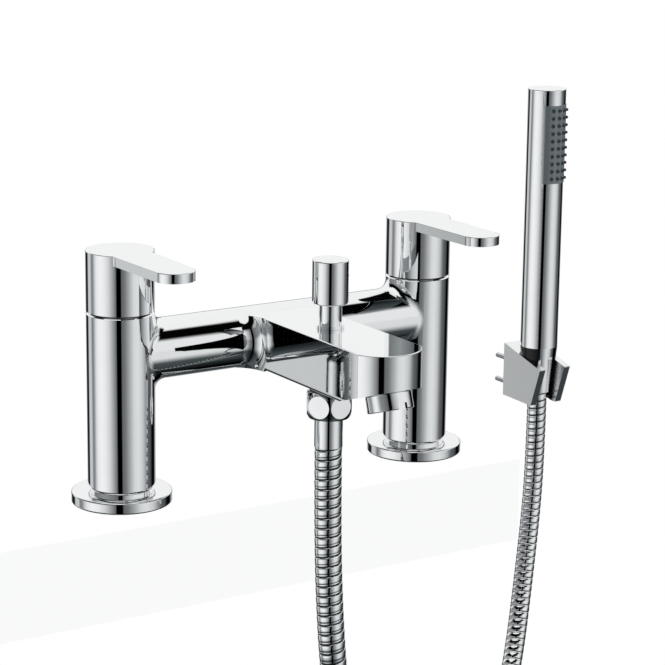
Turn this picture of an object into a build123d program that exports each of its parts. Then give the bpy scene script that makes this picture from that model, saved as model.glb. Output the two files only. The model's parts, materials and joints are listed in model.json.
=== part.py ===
from build123d import *
import os
from math import cos, pi, radians, sin, sqrt, tan

os.makedirs("parts", exist_ok=True)

# Clearances, in mm: pieces fixed together, turning or sliding fits, and free gaps
fixed_gap = 0.1
film_gap = 0.05
running_gap = 0.1
free_gap = 0.3
overrun = 2.0

# Deck inlets and base flanges
inlet_spacing = 180.0
flange_radius = 25.6
flange_height = 6.0
flange_edge_radius = 1.0
gasket_outer_radius = 22.0
gasket_thickness = 2.0
tail_shank_radius = 13.22
tail_shank_length = 4.0
tail_crest_radius = 13.04
tail_root_radius = 12.1
tail_pitch = 1.814
tail_ridges = 25
tail_bore_radius = 9.5
tail_spigot_radius = 12.2
tail_spigot_height = 24.0
tail_end_length = 2.0
deck_thickness = 24.0
washer_outer_radius = 21.0
washer_thickness = 2.5
backnut_flats = 36.0
backnut_height = 9.0

# Pillars and bridge of the casting
neck_radius = 15.8
neck_height = 1.2
pillar_radius = 17.25
pillar_top = 98.5
pillar_edge = 0.7
pillar_foot_edge = 1.8
riser_radius = 8.0
seat_height = 57.0
chamber_radius = 11.4
chamber_height = 27.0
cartridge_thread_radius = 12.7
bridge_radius = 15.5
bridge_height = 77.0
bridge_bore_radius = 7.5
bridge_blend = 6.5

# Bar spout
spout_half_width = 18.5
spout_top = 90.5
spout_thickness = 28.0
spout_side_reach = 107.0
spout_nose = 12.5
spout_blend = 9.0
spout_corner = 1.0
spout_upper_edge = 0.5
spout_lower_edge = 3.0
spout_tip_angle = 18.4
spout_tip_reach = 106.0
spout_tip_height = 68.6
feed_radius = 5.5
feed_height = 74.5
passage_half_width = 8.0
passage_reach = 102.0
spout_roof = 2.8

# Aerator under the spout's tip
aerator_radius = 11.5
aerator_drop = 8.6
aerator_edge = 0.6
aerator_thread_radius = 10.2
aerator_thread_length = 7.0
aerator_throat_radius = 8.3
aerator_throat_length = 17.0
aerator_insert_radius = 8.8
aerator_key_width = 5.0
aerator_key_depth = 1.2
aerator_key_height = 3.0
aerator_holes = 12
aerator_hole_radius = 1.1
aerator_mesh_recess = 1.6
aerator_washer_thickness = 1.6

# Diverter on the spout
diverter_reach = 53.3
diverter_chamber_radius = 10.5
diverter_throat_radius = 6.2
diverter_ledge_thickness = 1.7
bonnet_ring_radius = 7.15
bonnet_ring_height = 1.8
bonnet_neck_radius = 6.0
bonnet_neck_height = 10.6
bonnet_thread_radius = 6.3
diverter_rod_radius = 3.0
diverter_travel = 9.0
diverter_disc_radius = 8.6
diverter_disc_thickness = 1.6
diverter_washer_thickness = 1.5
knob_radius = 9.2
knob_height = 22.4
knob_edge = 0.8
rod_engagement = 14.0
ring_wire_radius = 0.9
ring_groove_play = 0.05
ring_first_height = 2.2
ring_spacing = 4.6
spring_radius = 4.3
spring_wire_radius = 0.4
spring_half_turns = 12

# Quarter-turn cartridges
seal_inner_radius = 6.0
seal_outer_radius = 10.8
seal_thickness = 2.5
sleeve_radius = 11.2
sleeve_inner_radius = 9.3
sleeve_cavity_height = 22.0
sleeve_window_width = 8.0
sleeve_window_height = 8.0
sleeve_window_rise = 11.0
sleeve_hex_flats = 24.0
sleeve_hex_height = 5.0
sleeve_neck_radius = 8.0
sleeve_neck_height = 3.0
disc_radius = 9.1
disc_thickness = 3.0
disc_port_radius = 3.0
disc_port_offset = 4.6
foot_radius = 8.8
foot_height = 2.6
spindle_radius = 4.6
spline_radius = 3.9
spline_height = 9.5
spline_teeth = 20
spline_depth = 0.4
clip_outer_radius = 6.4
clip_thickness = 1.0
clip_groove_depth = 0.6
clip_mouth = 4.0
cartridge_ring_wire_radius = 0.65
cartridge_ring_drop = 1.4

# Levers
lever_gap = 0.8
lever_top = 130.0
lever_plate = 5.0
lever_reach = 65.5
lever_root_half_width = 11.25
lever_tip_half_width = 10.0
lever_root_reach = 17.0
lever_cap_length = 9.3
lever_edge = 0.5
drum_cavity_radius = 15.0
drum_roof = 9.0
drum_boss_radius = 7.0
drum_boss_height = 12.5
spline_socket_height = 11.0
grub_radius = 2.0
grub_length = 6.0
grub_drop = 16.0
grub_socket_flats = 2.0
grub_socket_depth = 2.5
cap_radius = 2.3
cap_thickness = 1.4

# Shower outlet, hose nut and ferrule
spigot_upper_radius = 10.4
spigot_upper_height = 5.5
spigot_collar_radius = 10.9
spigot_collar_height = 2.0
spigot_thread_radius = 9.9
spigot_length = 10.8
spigot_bore_radius = 5.8
hose_washer_outer_radius = 9.8
hose_washer_inner_radius = 5.6
hose_washer_thickness = 2.0
hose_nut_flats = 22.5
hose_nut_top = 58.4
hose_nut_height = 14.0
hose_nut_facet_radius = 5.8
hose_nut_lip = 1.7
ferrule_collar_radius = 9.2
ferrule_collar_height = 1.5
ferrule_radius = 7.3
ferrule_bottom = 28.9
ferrule_bore_radius = 4.5

# Ribbed hose
hose_radius = 7.0
hose_groove_radius = 6.35
hose_bore_radius = 4.4
rib_pitch = 5.15
rib_crest_share = 0.56
rib_flank_share = 0.12
coil_turn_gap = 1.0
coil_lead = 14.0
coil_half_turns = 3
tie_width = 12.0
tie_thickness = 1.5
tie_gap = 0.5
corner_share = 0.45

# Handset
handset_x = 409.4
handset_y = 300.4
handset_radius = 13.5
handset_wall = 1.6
handset_top = 142.7
cap_height = 2.5
cap_edge = 0.6
cap_spigot_height = 6.0
tube_bottom = -44.6
panel_bottom = 76.0
panel_top = 131.6
panel_half_angle = 57.6
panel_facing = 12.7
panel_proud = 0.4
panel_thickness = 1.9
nozzle_rows = 10
nozzle_columns = 4
nozzle_row_pitch = 5.4
nozzle_column_angle = 19.6
nozzle_first_height = 3.5
nozzle_radius = 1.25
nozzle_tip_radius = 0.9
nozzle_length = 1.5
housing_wall = 1.5
housing_length = 62.0
housing_drop = 2.0
inlet_plug_height = 10.0
inlet_thread_radius = 10.3
inlet_thread_length = 12.4
inlet_bore_radius = 5.0

# Conical nut and hose end under the handset
cone_top_radius = 12.0
cone_bottom_radius = 8.75
cone_height = 34.4
cone_edge = 0.5
end_washer_radius = 9.6
end_washer_thickness = 2.5
end_collar_radius = 9.6
end_collar_height = 2.3
end_core_radius = 7.3
strainer_bar = 0.9

# Wall bracket
bracket_width = 27.5
wall_distance = 23.1
bracket_back_top = -46.1
bracket_front_top = -57.8
bracket_front_bottom = -86.2
bracket_back_bottom = -85.3
bracket_front_reach = 20.0
bracket_lower_front_reach = 10.3
bracket_slot_width = 17.0
bracket_edge = 0.5
liner_thickness = 1.2
liner_rise = 1.2
liner_slot_width = 15.0
bracket_screw_radius = 1.75
bracket_screw_neck_radius = 2.0
bracket_screw_head_radius = 3.4
bracket_screw_length = 26.0
bracket_screw_spacing = 18.0
bracket_screw_head_height = 2.2

# Levels worked out from the sizes above
pillar_foot = flange_height + neck_height
seal_top = seat_height + seal_thickness
moving_disc_base = seal_top + disc_thickness + film_gap
foot_base = moving_disc_base + disc_thickness + film_gap
sleeve_shoulder = seat_height + chamber_height
cavity_top = seal_top + sleeve_cavity_height
hex_top = pillar_top + sleeve_hex_height
neck_top = hex_top + sleeve_neck_height
clip_base = neck_top + film_gap
spline_base = clip_base + clip_thickness + free_gap
drum_bottom = pillar_top + lever_gap
plate_bottom = lever_top - lever_plate
drum_cavity_top = lever_top - drum_roof
spout_bottom = spout_top - spout_thickness
spout_reach = spout_side_reach + spout_nose
passage_top = spout_top - spout_roof
tail_thread_length = tail_pitch * tail_ridges
tail_bottom = -(tail_shank_length + tail_thread_length + tail_end_length)
washer_top = -deck_thickness
knob_bottom = spout_top + bonnet_ring_height + bonnet_neck_height + free_gap
spigot_seat = spout_bottom + spigot_upper_height
disc_base = spigot_seat + film_gap + diverter_washer_thickness
valve_top = disc_base + diverter_disc_thickness + diverter_washer_thickness
diverter_ledge = valve_top + diverter_travel + film_gap
upper_chamber_floor = diverter_ledge + diverter_ledge_thickness
diverter_y = -diverter_reach
hose_nut_bottom = hose_nut_top - hose_nut_height
spigot_bottom = spout_bottom - spigot_collar_height - spigot_length
nut_top = tube_bottom - fixed_gap
cone_bottom = nut_top - cone_height
inlet_end = tube_bottom - inlet_thread_length
end_washer_bottom = inlet_end - end_washer_thickness
end_collar_top = end_washer_bottom - running_gap
end_collar_bottom = end_collar_top - end_collar_height
nut_shoulder = end_collar_bottom - running_gap
wall_y = handset_y + wall_distance
screw_mid = (bracket_front_top + bracket_back_bottom) / 2


def ring(outer, inner, low, high):
    """Round ring about the Z axis between two heights."""
    body = Pos(0, 0, low) * extrude(Circle(outer), high - low)
    if inner:
        body -= Pos(0, 0, low - overrun) * extrude(Circle(inner), high - low + 2 * overrun)
    return body


def turned(points):
    """Solid of revolution about Z from a closed outline of (radius, height) points."""
    return revolve(Plane.XZ * make_face(Polyline(*points, close=True)), Axis.Z)


def hexagon(flats, low, high):
    """Hexagonal prism about Z, measured across its flats."""
    return Pos(0, 0, low) * extrude(RegularPolygon(flats / 2, 6, major_radius=False), high - low)


def o_ring(mean, wire, height):
    """Round rubber ring about Z."""
    return revolve(Plane.XZ * Pos(mean, height) * Circle(wire), Axis.Z)


def cone_radius(height):
    """Radius of the conical nut's outside at a height."""
    share = (nut_top - height) / cone_height
    return cone_top_radius + (cone_bottom_radius - cone_top_radius) * share


def grouped(place, solids):
    """Several separate solids in one piece, each set in its place."""
    return Compound(children=[place * solid for solid in solids])


def write(name, shape):
    """Export one named piece."""
    export_step(shape, f"parts/{name}.step")


# Base flanges, gaskets, tails and their nuts


def base_flange():
    body = ring(flange_radius, 0, 0, flange_height)
    body = fillet(body.edges().filter_by(GeomType.CIRCLE), flange_edge_radius)
    body -= ring(tail_shank_radius, 0, -overrun, flange_height + overrun)
    body -= ring(gasket_outer_radius + fixed_gap, 0, -overrun, gasket_thickness)
    return body


def base_gasket():
    return ring(gasket_outer_radius, tail_shank_radius, 0, gasket_thickness)


def inlet_tail():
    """Threaded tail whose ridges are rings of the thread's own pitch and depth."""
    shank = -tail_shank_length
    points = [
        (tail_bore_radius, tail_spigot_height),
        (tail_spigot_radius, tail_spigot_height),
        (tail_spigot_radius, 0),
        (tail_shank_radius, 0),
        (tail_shank_radius, shank),
    ]
    crest = tail_pitch / 8
    flank = (tail_pitch - 2 * crest) / 2
    for ridge in range(tail_ridges):
        start = shank - tail_pitch * ridge
        points += [
            (tail_root_radius, start - flank),
            (tail_root_radius, start - flank - crest),
            (tail_crest_radius, start - tail_pitch + crest),
            (tail_crest_radius, start - tail_pitch),
        ]
    points += [(tail_root_radius, tail_bottom), (tail_bore_radius, tail_bottom)]
    return turned(points)


def deck_washer():
    top = washer_top - fixed_gap
    return ring(washer_outer_radius, tail_crest_radius + fixed_gap, top - washer_thickness, top)


def backnut():
    top = washer_top - fixed_gap - washer_thickness
    body = hexagon(backnut_flats, top - backnut_height, top)
    return body - ring(tail_crest_radius + film_gap, 0, top - backnut_height - overrun, top + overrun)


# The casting


def pillar():
    body = ring(pillar_radius, 0, pillar_foot, pillar_top)
    body = fillet(body.edges().group_by(Axis.Z)[0], pillar_foot_edge)
    body = chamfer(body.edges().group_by(Axis.Z)[-1], pillar_edge)
    return body + ring(neck_radius, 0, flange_height, pillar_foot + overrun)


def blended_bridge(half):
    """Bridge with the inner halves of both pillars, blended into each other."""
    top = bridge_height + bridge_radius + 2 * bridge_blend
    tall = ring(pillar_radius, 0, pillar_foot + pillar_foot_edge, top)
    body = Pos(0, 0, bridge_height) * extrude(Plane.YZ * Circle(bridge_radius), half, both=True)
    body += Pos(-half, 0, 0) * tall
    body += Pos(half, 0, 0) * tall
    body = fillet([e for e in body.edges() if is_seam(e, half)], bridge_blend)
    low = pillar_foot + pillar_foot_edge
    high = pillar_top - pillar_edge
    room = Box(2 * half, 2 * pillar_radius + overrun, high - low)
    return body & Pos(0, 0, (low + high) / 2) * room


def is_seam(edge, half):
    """True for the curved edges where the bridge meets a pillar."""
    centre = edge.center()
    beside = half - pillar_radius - overrun < abs(centre.X) < half
    level = abs(centre.Z - bridge_height) < bridge_radius
    return beside and level and edge.geom_type not in (GeomType.CIRCLE, GeomType.LINE)


def spout_root():
    """Flare that carries the bridge's round front into the spout's flat sides."""
    side = spout_half_width
    tip = side + spout_blend
    reach = bridge_radius + spout_blend
    bend = spout_blend * sin(pi / 4)
    arc = ThreePointArc((side, reach), (tip - bend, reach - bend), (tip, bridge_radius))
    rest = Polyline((tip, bridge_radius), (tip, 0), (0, 0), (0, reach), (side, reach))
    flare = revolve(make_face(arc + rest), Axis.X)
    flare = Pos(0, 0, bridge_height) * (flare + mirror(flare, Plane.YZ))
    room = Box(2 * tip, reach, spout_thickness)
    return flare & Pos(0, -reach / 2, spout_bottom + spout_thickness / 2) * room


def spout_bar():
    side = spout_half_width
    outline = Polyline((side, -spout_side_reach), (side, 0), (-side, 0), (-side, -spout_side_reach))
    front = ThreePointArc((-side, -spout_side_reach), (0, -spout_reach), (side, -spout_side_reach))
    bar = Pos(0, 0, spout_bottom) * extrude(make_face(outline + front), spout_thickness)
    bar = fillet(bar.edges().filter_by(Axis.Z).group_by(Axis.Y)[0], spout_corner)
    rim = [e for e in bar.edges().group_by(Axis.Z)[-1] if e.center().Y < 0]
    bar = fillet(rim, spout_upper_edge)
    sides = bar.edges().filter_by(Axis.Y).group_by(Axis.Z)[0]
    bar = fillet(sides, spout_lower_edge)
    rise = tan(radians(spout_tip_angle))
    back = spout_tip_reach - (spout_tip_height - spout_bottom) / rise - overrun / rise
    ahead = spout_reach + overrun
    low = spout_bottom - overrun
    high = spout_tip_height + (ahead - spout_tip_reach) * rise
    wedge = make_face(Polyline((-back, low), (-ahead, low), (-ahead, high), close=True))
    return bar - extrude(Plane.YZ * wedge, side + overrun, both=True)


def tip_frame():
    """Frame on the tilted underside of the spout's tip, Z pointing out of it."""
    tilt = radians(spout_tip_angle)
    origin = (0, -spout_tip_reach, spout_tip_height)
    return Plane(origin=origin, x_dir=(1, 0, 0), z_dir=(0, -sin(tilt), -cos(tilt)))


def valve_chamber():
    """Hollow that takes one cartridge, with the riser from its tail."""
    hollow = ring(tail_spigot_radius + fixed_gap, 0, 0, tail_spigot_height + fixed_gap)
    hollow += ring(riser_radius, 0, 0, seat_height + overrun)
    hollow += ring(chamber_radius, 0, seat_height, pillar_top)
    return hollow + ring(cartridge_thread_radius, 0, sleeve_shoulder, pillar_top + overrun)


def diverter_passages():
    hollow = ring(diverter_chamber_radius, 0, spout_bottom - overrun, diverter_ledge)
    hollow += ring(diverter_throat_radius, 0, diverter_ledge - overrun, upper_chamber_floor + overrun)
    hollow += ring(passage_half_width, 0, upper_chamber_floor, passage_top)
    hollow += ring(bonnet_thread_radius + fixed_gap, 0, passage_top - overrun, spout_top + overrun)
    hollow = Pos(0, diverter_y, 0) * hollow
    length = passage_reach - diverter_reach
    middle = (passage_reach + diverter_reach) / 2
    slot = Box(2 * passage_half_width, length, passage_top - upper_chamber_floor)
    hollow += Pos(0, -middle, (passage_top + upper_chamber_floor) / 2) * slot
    feed = extrude(Plane.XZ * Circle(feed_radius), diverter_reach)
    return hollow + Pos(0, 0, feed_height) * feed


def mixer_body():
    half = inlet_spacing / 2
    body = blended_bridge(half)
    body += Pos(-half, 0, 0) * pillar()
    body += Pos(half, 0, 0) * pillar()
    body += spout_root() + spout_bar()
    bore = extrude(Plane.YZ * Circle(bridge_bore_radius), half, both=True)
    body -= Pos(0, 0, bridge_height) * bore
    body -= Pos(-half, 0, 0) * valve_chamber()
    body -= Pos(half, 0, 0) * valve_chamber()
    body -= diverter_passages()
    tip = tip_frame().location
    body -= tip * ring(aerator_thread_radius, 0, -aerator_thread_length, overrun)
    body -= tip * ring(aerator_throat_radius, 0, -aerator_throat_length, overrun)
    return body


# Cartridges


def seat_seal():
    return ring(seal_outer_radius, seal_inner_radius, seat_height, seal_top)


def disc_ports(low, high):
    """The two through ports of a ceramic disc."""
    ports = Pos(disc_port_offset, 0, 0) * ring(disc_port_radius, 0, low, high)
    return ports + Pos(-disc_port_offset, 0, 0) * ring(disc_port_radius, 0, low, high)


def fixed_disc():
    body = ring(disc_radius, 0, seal_top, seal_top + disc_thickness)
    return body - disc_ports(seal_top - overrun, seal_top + disc_thickness + overrun)


def moving_disc():
    body = ring(disc_radius, 0, moving_disc_base, moving_disc_base + disc_thickness)
    ports = disc_ports(moving_disc_base - overrun, moving_disc_base + disc_thickness + overrun)
    return body - Rot(0, 0, 90) * ports


def cartridge_body():
    body = ring(sleeve_radius, 0, seal_top, sleeve_shoulder + overrun)
    body += ring(cartridge_thread_radius - fixed_gap, 0, sleeve_shoulder + fixed_gap, pillar_top + overrun)
    body += hexagon(sleeve_hex_flats, pillar_top + film_gap, hex_top) & ring(
        sleeve_hex_flats / sqrt(3), 0, pillar_top, hex_top
    )
    body += ring(sleeve_neck_radius, 0, hex_top - overrun, neck_top)
    body -= ring(sleeve_inner_radius, 0, seal_top - overrun, cavity_top)
    body -= ring(spindle_radius + running_gap, 0, cavity_top - overrun, neck_top + overrun)
    window = Box(3 * sleeve_radius, sleeve_window_width, sleeve_window_height)
    window = Pos(0, 0, seal_top + sleeve_window_rise + sleeve_window_height / 2) * window
    body -= window + Rot(0, 0, 90) * window
    groove = cartridge_ring_height()
    inner = chamber_radius - 2 * cartridge_ring_wire_radius - 2 * ring_groove_play
    width = cartridge_ring_wire_radius + ring_groove_play
    return body - ring(sleeve_radius + overrun, inner, groove - width, groove + width)


def cartridge_ring_height():
    return sleeve_shoulder - cartridge_ring_drop


def cartridge_o_ring():
    mean = chamber_radius - cartridge_ring_wire_radius - ring_groove_play
    return o_ring(mean, cartridge_ring_wire_radius, cartridge_ring_height())


def spindle():
    body = ring(foot_radius, 0, foot_base, foot_base + foot_height)
    body += ring(spindle_radius, 0, foot_base, spline_base)
    body += ring(spline_radius, 0, spline_base - overrun, spline_base + spline_height)
    port = Rot(0, 0, 90) * disc_ports(foot_base - overrun, foot_base + foot_height)
    body -= port
    body -= ring(spindle_radius + overrun, spindle_radius - clip_groove_depth, clip_base, clip_groove_top())
    for tooth in range(spline_teeth):
        notch = Cylinder(spline_depth, spline_height + overrun)
        level = spline_base + spline_height / 2 + overrun / 2
        body -= Rot(0, 0, 360 * tooth / spline_teeth) * Pos(spline_radius, 0, level) * notch
    return body


def clip_groove_top():
    return clip_base + clip_thickness + film_gap


def spindle_clip():
    """Open ring that snaps into the spindle's groove above the sleeve."""
    inner = spindle_radius - clip_groove_depth + film_gap
    body = ring(clip_outer_radius, inner, clip_base, clip_base + clip_thickness)
    mouth = Box(clip_outer_radius, clip_mouth, clip_thickness + overrun)
    return body - Pos(clip_outer_radius / 2 + inner / 2, 0, clip_base + clip_thickness / 2) * mouth


# Levers


def grub_height():
    return lever_top - grub_drop


def lever():
    """Drum and flat lever in one piece, pointing to the front."""
    root_y = -lever_root_reach
    straight_y = -(lever_reach - lever_cap_length)
    slope = (lever_root_half_width - lever_tip_half_width) / (straight_y - root_y)
    inside_y = -drum_boss_radius
    inside = lever_root_half_width + slope * (inside_y - root_y)
    tip = lever_tip_half_width
    outline = Polyline((tip, straight_y), (inside, inside_y), (-inside, inside_y), (-tip, straight_y))
    cap = EllipticalCenterArc((0, straight_y), tip, lever_cap_length, start_angle=180, arc_size=180)
    plate = Pos(0, 0, plate_bottom) * extrude(make_face(outline + cap), lever_plate)
    plate += ring(pillar_radius, 0, drum_bottom, lever_top)
    plate = fillet(plate.edges().group_by(Axis.Z)[-1], lever_edge)
    plate -= ring(drum_cavity_radius, 0, drum_bottom - overrun, drum_cavity_top)
    boss_bottom = drum_cavity_top - drum_boss_height
    plate += ring(drum_boss_radius, 0, boss_bottom, drum_cavity_top + overrun)
    plate -= ring(spline_radius + fixed_gap, 0, boss_bottom - overrun, spline_base + spline_socket_height)
    hole = Pos(0, 0, grub_height()) * Plane.XZ.location
    screw_hole = extrude(Circle(grub_radius + film_gap), -drum_cavity_radius)
    plate -= hole * screw_hole
    access = Pos(0, 0, -pillar_radius - overrun) * extrude(
        Circle(cap_radius + film_gap), pillar_radius - drum_cavity_radius + 2 * overrun
    )
    return plate - hole * access


def grub_screw():
    start = spline_radius + fixed_gap
    body = extrude(Circle(grub_radius), -grub_length)
    socket = Pos(0, 0, -grub_length) * extrude(
        RegularPolygon(grub_socket_flats / 2, 6, major_radius=False), grub_socket_depth
    )
    return Pos(0, start, grub_height()) * Plane.XZ.location * (body - socket)


def screw_cap():
    face = sqrt(pillar_radius**2 - cap_radius**2)
    body = extrude(Circle(cap_radius), cap_thickness)
    return Pos(0, face, grub_height()) * Plane.XZ.location * body


# Diverter


def bonnet_ring_levels():
    first = spout_top + bonnet_ring_height + ring_first_height
    return [first, first + ring_spacing]


def diverter_bonnet():
    top = spout_top + bonnet_ring_height
    body = ring(bonnet_thread_radius, 0, passage_top, spout_top + film_gap)
    body += ring(bonnet_ring_radius, 0, spout_top + film_gap, top)
    body += ring(bonnet_neck_radius, 0, spout_top, top + bonnet_neck_height)
    body -= ring(diverter_rod_radius + running_gap, 0, passage_top - overrun, knob_bottom + overrun)
    groove = diverter_rod_radius + running_gap + 2 * ring_wire_radius
    half = ring_wire_radius + ring_groove_play
    for level in bonnet_ring_levels():
        body -= ring(groove, 0, level - half, level + half)
    return Pos(0, diverter_y, 0) * body


def diverter_o_rings():
    mean = diverter_rod_radius + running_gap + ring_wire_radius - ring_groove_play / 2
    low, high = bonnet_ring_levels()
    rings = [o_ring(mean, ring_wire_radius - ring_groove_play / 2, level) for level in (low, high)]
    return grouped(Pos(0, diverter_y, 0), rings)


def diverter_knob():
    body = ring(knob_radius, 0, knob_bottom, knob_bottom + knob_height)
    body = fillet(body.edges().filter_by(GeomType.CIRCLE), knob_edge)
    socket = diverter_rod_radius + film_gap
    body -= ring(socket, 0, knob_bottom - overrun, knob_bottom + rod_engagement + film_gap)
    return Pos(0, diverter_y, 0) * body


def diverter_stem():
    low = disc_base
    body = ring(diverter_disc_radius, 0, low, low + diverter_disc_thickness)
    body += ring(diverter_rod_radius, 0, low - diverter_washer_thickness, knob_bottom + rod_engagement)
    return Pos(0, diverter_y, 0) * body


def diverter_valve_washers():
    low = disc_base
    inner = diverter_rod_radius + film_gap
    under = ring(diverter_disc_radius, inner, low - diverter_washer_thickness, low)
    upper = low + diverter_disc_thickness
    over = ring(diverter_disc_radius, inner, upper, upper + diverter_washer_thickness)
    return grouped(Pos(0, diverter_y, 0), [under, over])


def diverter_spring():
    """Return spring of half turns, each a true half circle that climbs half a pitch."""
    bottom = valve_top + free_gap + spring_wire_radius
    top = passage_top - free_gap - spring_wire_radius
    climb = (top - bottom) / spring_half_turns
    arcs = []
    for turn in range(spring_half_turns):
        side = 1 if turn % 2 == 0 else -1
        low = bottom + climb * turn
        bulge = sqrt(spring_radius**2 + (climb / 2) ** 2)
        start = (side * spring_radius, 0, low)
        middle = (0, side * bulge, low + climb / 2)
        end = (-side * spring_radius, 0, low + climb)
        arcs.append(ThreePointArc(start, middle, end))
    path = Wire(arcs)
    section = Plane(origin=path @ 0, z_dir=path % 0) * Circle(spring_wire_radius)
    gap = 2 * climb - 2 * spring_wire_radius
    print(f"spring: least gap between turns {gap:.2f} mm")
    return Pos(0, diverter_y, 0) * sweep(section, path)


# Aerator


def aerator_housing():
    body = ring(aerator_radius, 0, film_gap, aerator_drop)
    body = fillet(body.edges().filter_by(GeomType.CIRCLE), aerator_edge)
    body += ring(aerator_thread_radius - fixed_gap, 0, fixed_gap - aerator_thread_length, overrun)
    inner = aerator_insert_radius + fixed_gap
    body -= ring(inner, 0, -aerator_thread_length - overrun, aerator_drop + overrun)
    key = Box(aerator_key_width, 2 * aerator_key_depth, 2 * aerator_key_height)
    for side in (1, -1):
        body -= Pos(0, side * aerator_radius, aerator_drop) * key
    return tip_frame().location * body


def aerator_insert():
    """Plastic cartridge: cup with a ring of holes and a raised spider."""
    low = aerator_washer_thickness + fixed_gap - aerator_thread_length
    body = ring(aerator_insert_radius, 0, low, aerator_drop - aerator_mesh_recess)
    core = aerator_insert_radius - aerator_mesh_recess
    body -= ring(core, 0, low - overrun, aerator_drop - 3 * aerator_mesh_recess)
    reach = core - aerator_hole_radius - film_gap
    for hole in range(aerator_holes):
        drill = ring(aerator_hole_radius, 0, low, aerator_drop)
        body -= Rot(0, 0, 360 * hole / aerator_holes) * Pos(reach, 0, 0) * drill
    for hole in range(aerator_holes // 2):
        drill = ring(aerator_hole_radius, 0, low, aerator_drop)
        body -= Rot(0, 0, 720 * hole / aerator_holes) * Pos(reach / 2, 0, 0) * drill
    return tip_frame().location * body


def aerator_washer():
    low = -aerator_thread_length
    core = aerator_insert_radius - aerator_mesh_recess
    body = ring(aerator_insert_radius, core, low, low + aerator_washer_thickness)
    return tip_frame().location * body


# Shower outlet and the hose's upper end


def shower_outlet_spigot():
    low = spout_bottom - spigot_collar_height
    body = ring(spigot_upper_radius, 0, spout_bottom - overrun, spigot_seat)
    body += ring(spigot_collar_radius, 0, low, spout_bottom - film_gap)
    body += ring(spigot_thread_radius, 0, spigot_bottom, spout_bottom)
    body -= ring(spigot_bore_radius, 0, spigot_bottom - overrun, spigot_seat + overrun)
    return Pos(0, diverter_y, 0) * body


def hose_washer():
    high = spigot_bottom
    body = ring(hose_washer_outer_radius, hose_washer_inner_radius, high - hose_washer_thickness, high)
    return Pos(0, diverter_y, 0) * body


def ferrule_collar_top():
    return spigot_bottom - hose_washer_thickness


def hose_nut():
    """Hexagonal nut turned to a ball, so that each flat is left as a round facet."""
    body = hexagon(hose_nut_flats, hose_nut_bottom, hose_nut_top)
    ball = sqrt(hose_nut_flats**2 / 4 + hose_nut_facet_radius**2)
    body &= Pos(0, 0, (hose_nut_bottom + hose_nut_top) / 2) * Sphere(ball)
    thread = spigot_thread_radius + film_gap
    body -= ring(thread, 0, hose_nut_bottom + hose_nut_lip, hose_nut_top + overrun)
    body -= ring(ferrule_radius + fixed_gap, 0, hose_nut_bottom - overrun, hose_nut_top)
    return Pos(0, diverter_y, 0) * body


def hose_ferrule():
    top = ferrule_collar_top()
    body = ring(ferrule_radius, 0, ferrule_bottom, top)
    body += ring(ferrule_collar_radius, 0, top - ferrule_collar_height, top)
    body -= ring(ferrule_bore_radius, 0, ferrule_bottom - overrun, top + overrun)
    return Pos(0, diverter_y, 0) * body


# The hose: its route is chosen by hand apart from the coil

leg_mixer_route = [
    (0.0, -53.3, 28.9),
    (0.0, -53.3, -4.0),
    (-0.6, -56.4, -50.0),
    (2.0, -58.5, -98.0),
    (20.0, -43.0, -146.0),
    (54.0, -13.0, -192.0),
    (98.0, 26.0, -240.0),
    (139.0, 62.0, -290.0),
    (164.0, 86.5, -338.0),
    (174.3, 95.5, -376.0),
    (174.3, 95.5, -406.0),
]
leg_handset_route = [
    (409.4, 300.4, -79.1),
    (409.4, 300.4, -116.0),
    (405.8, 297.6, -162.0),
    (389.0, 283.0, -213.0),
    (365.0, 260.5, -262.0),
    (332.0, 232.0, -302.0),
    (303.6, 208.0, -331.0),
    (287.4, 194.4, -358.0),
    (281.8, 189.5, -382.0),
    (281.8, 189.5, -406.0),
]


def route_path(points, name):
    """Straight runs joined by arcs as large as their runs allow."""
    vectors = [Vector(*point) for point in points]
    radii = []
    for before, here, after in zip(vectors, vectors[1:], vectors[2:]):
        turn = (here - before).get_angle(after - here)
        shorter = min((here - before).length, (after - here).length)
        radii.append(corner_share * shorter / tan(radians(turn) / 2))
    path = FilletPolyline(*points, radius=radii)
    print(f"{name}: length {path.length:.1f} mm, radii", [round(r) for r in radii])
    return path


def steady_side(points):
    """Level direction square to the vertical plane that a leg hangs in."""
    first, last = Vector(*points[0]), Vector(*points[-1])
    along = Vector(last.X - first.X, last.Y - first.Y, 0).normalized()
    return Vector(-along.Y, along.X, 0)


def ribbed_leg(points, name):
    """Convoluted metal hose: flat crests and grooves of one pitch, open through."""
    path = Wire(route_path(points, name).edges())
    side = steady_side(points)
    straight = 2 * hose_radius
    ribs = round((path.length - 2 * straight) / rib_pitch)
    pitch = (path.length - 2 * straight) / ribs
    stations = [(0, hose_radius), (straight, hose_radius)]
    crest, flank = rib_crest_share, rib_flank_share
    for rib in range(ribs):
        start = straight + pitch * rib
        stations += [
            (start + flank * pitch, hose_groove_radius),
            (start + (1 - crest - flank) * pitch, hose_groove_radius),
            (start + (1 - crest) * pitch, hose_radius),
            (start + pitch, hose_radius),
        ]
    stations.append((path.length, hose_radius))
    outer, inner = [], []
    for distance, radius in stations:
        place = path.position_at(distance, position_mode=PositionMode.LENGTH)
        heading = path.tangent_at(distance, position_mode=PositionMode.LENGTH)
        plane = Plane(origin=place, x_dir=side, z_dir=heading)
        outer.append(plane * Circle(radius))
        inner.append(plane * Circle(hose_bore_radius))
    print(f"{name}: {ribs} ribs")
    skin = loft([face.face() for face in outer], ruled=True)
    bore = sweep(inner[0], path)
    return skin - bore


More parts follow.
